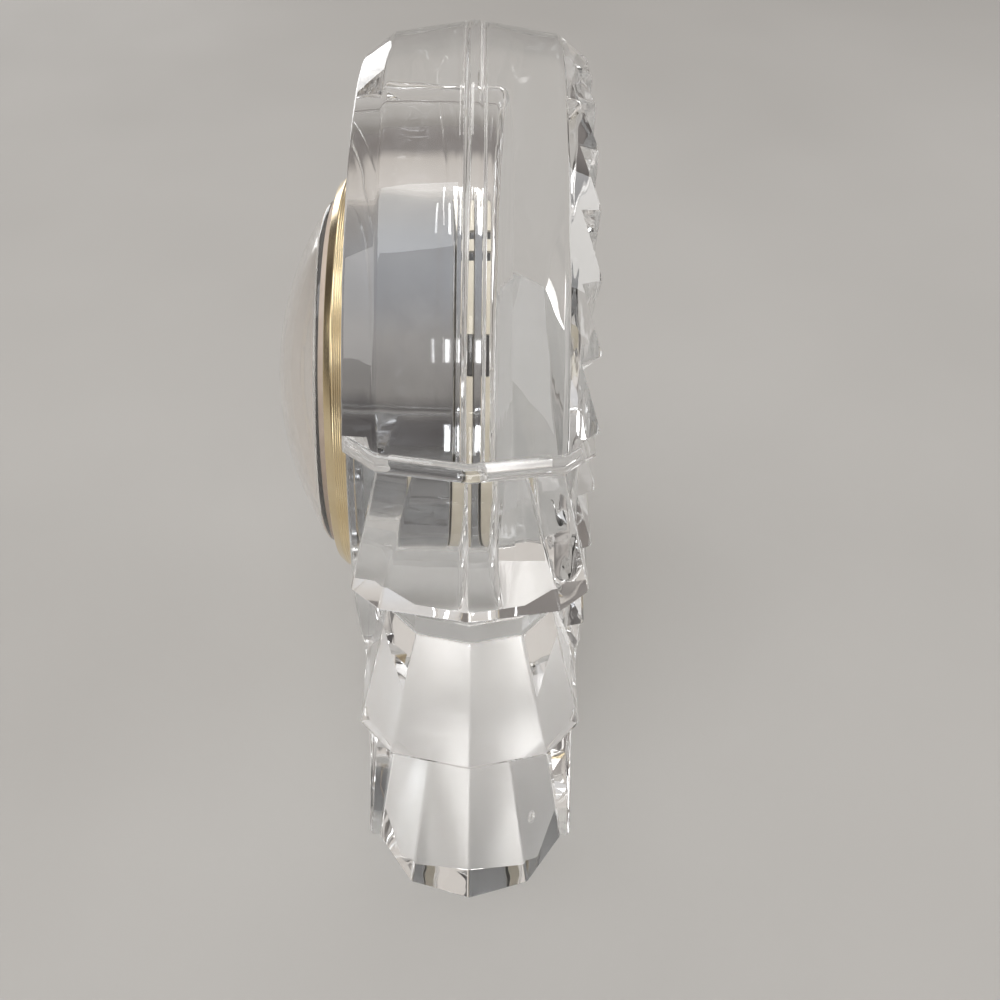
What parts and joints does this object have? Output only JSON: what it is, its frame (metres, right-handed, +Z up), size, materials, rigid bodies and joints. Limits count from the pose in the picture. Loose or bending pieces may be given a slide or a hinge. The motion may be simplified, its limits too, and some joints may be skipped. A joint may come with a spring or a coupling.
{
  "type": "crystal mantel clock",
  "caption": "Clear crystal mantel clock: a faceted round head on flared tiers, a fluted back and a gold-rimmed quartz insert held in a blind recess.",
  "frame": {"origin": "on the surface that the clock stands on, at the middle of the crystal's base", "axes": "+Z up, +X along the clock's width, dial facing -Y"},
  "size_m": [0.1424, 0.055, 0.1288],
  "materials": {
    "crystal": "clear pressed crystal, fire-polished with softly rounded edges",
    "lens": "clear domed lens, polished",
    "gilt": "polished gold-coloured brass with fine turned lines",
    "plated": "bright plated sheet metal with faint drawing lines",
    "rubber": "soft grey band",
    "cream": "moulded cream plastic, satin",
    "black": "moulded black plastic",
    "dial": "warm white enamelled sheet",
    "brass": "plain brass",
    "steel": "bare steel",
    "nylon": "natural moulded plastic",
    "copper": "lacquered copper wire",
    "board": "green laminate board"
  },
  "bodies": {
    "crystal": {"crystal_body": "crystal"},
    "insert": {"bezel": "gilt", "lens": "lens", "case_cup": "plated", "retaining_band": "rubber", "back_cap": "cream", "dial_plate": "dial", "dial_nut": "brass", "movement_base": "black", "movement_cover": "black", "cover_screw_1": "steel", "cover_screw_2": "steel", "cover_screw_3": "steel", "stator": "steel", "coil_core": "steel", "coil_bobbin": "nylon", "coil_winding": "copper", "circuit_board": "board", "chip_cover": "black", "oscillator_can": "steel", "battery_cell": "steel", "negative_contact": "brass", "positive_contact": "brass"},
    "battery_hatch": {"battery_hatch": "cream"},
    "setting_knob": {"setting_knob": "black"},
    "minute_hand": {"minute_hand": "black", "cannon_pinion": "nylon"},
    "hour_hand": {"hour_hand": "black", "hour_wheel": "nylon"},
    "minute_wheel": {"minute_wheel": "nylon"},
    "second_hand": {"second_hand": "gilt", "seconds_wheel": "nylon"},
    "fifth_wheel": {"fifth_wheel": "nylon"},
    "rotor": {"rotor": "steel"},
    "third_wheel": {"third_wheel": "nylon"},
    "centre_wheel": {"centre_wheel": "nylon"}
  },
  "joints": [
    {"name": "insert_pull", "type": "slide", "parent": "crystal", "child": "insert", "axis": [0, -1, 0], "range_m": [0, 0.024]},
    {"name": "hatch_turn", "type": "hinge", "parent": "insert", "child": "battery_hatch", "pos_m": [0, -0.019, 0.0824], "axis": [0, 1, 0], "range_deg": [0, 30]},
    {"name": "minute_hand_turn", "type": "hinge", "parent": "insert", "child": "minute_hand", "pos_m": [0, -0.019, 0.066], "axis": [0, 1, 0], "continuous": true},
    {"name": "hour_hand_turn", "type": "hinge", "parent": "insert", "child": "hour_hand", "pos_m": [0, -0.019, 0.066], "axis": [0, 1, 0], "continuous": true},
    {"name": "minute_wheel_turn", "type": "hinge", "parent": "insert", "child": "minute_wheel", "pos_m": [0.00624, -0.019, 0.0624], "axis": [0, 1, 0], "continuous": true},
    {"name": "knob_turn", "type": "hinge", "parent": "insert", "child": "setting_knob", "pos_m": [0.01247, -0.019, 0.0588], "axis": [0, 1, 0], "continuous": true},
    {"name": "second_hand_turn", "type": "hinge", "parent": "insert", "child": "second_hand", "pos_m": [0, -0.019, 0.066], "axis": [0, 1, 0], "continuous": true},
    {"name": "fifth_wheel_turn", "type": "hinge", "parent": "insert", "child": "fifth_wheel", "pos_m": [-0.00779, -0.019, 0.0615], "axis": [0, 1, 0], "continuous": true},
    {"name": "rotor_turn", "type": "hinge", "parent": "insert", "child": "rotor", "pos_m": [-0.01325, -0.019, 0.05835], "axis": [0, 1, 0], "continuous": true},
    {"name": "third_wheel_turn", "type": "hinge", "parent": "insert", "child": "third_wheel", "pos_m": [0, -0.019, 0.075], "axis": [0, 1, 0], "continuous": true},
    {"name": "centre_wheel_turn", "type": "hinge", "parent": "insert", "child": "centre_wheel", "pos_m": [0, -0.019, 0.066], "axis": [0, 1, 0], "continuous": true}
  ],
  "couplings": [
    {"joint": "hour_hand_turn", "follows": "minute_hand_turn", "ratio": 0.083333},
    {"joint": "minute_wheel_turn", "follows": "minute_hand_turn", "ratio": -0.33333},
    {"joint": "knob_turn", "follows": "minute_hand_turn", "ratio": 1},
    {"joint": "fifth_wheel_turn", "follows": "second_hand_turn", "ratio": -5},
    {"joint": "rotor_turn", "follows": "second_hand_turn", "ratio": 30},
    {"joint": "third_wheel_turn", "follows": "second_hand_turn", "ratio": -0.13333},
    {"joint": "centre_wheel_turn", "follows": "second_hand_turn", "ratio": 0.016667}
  ]
}
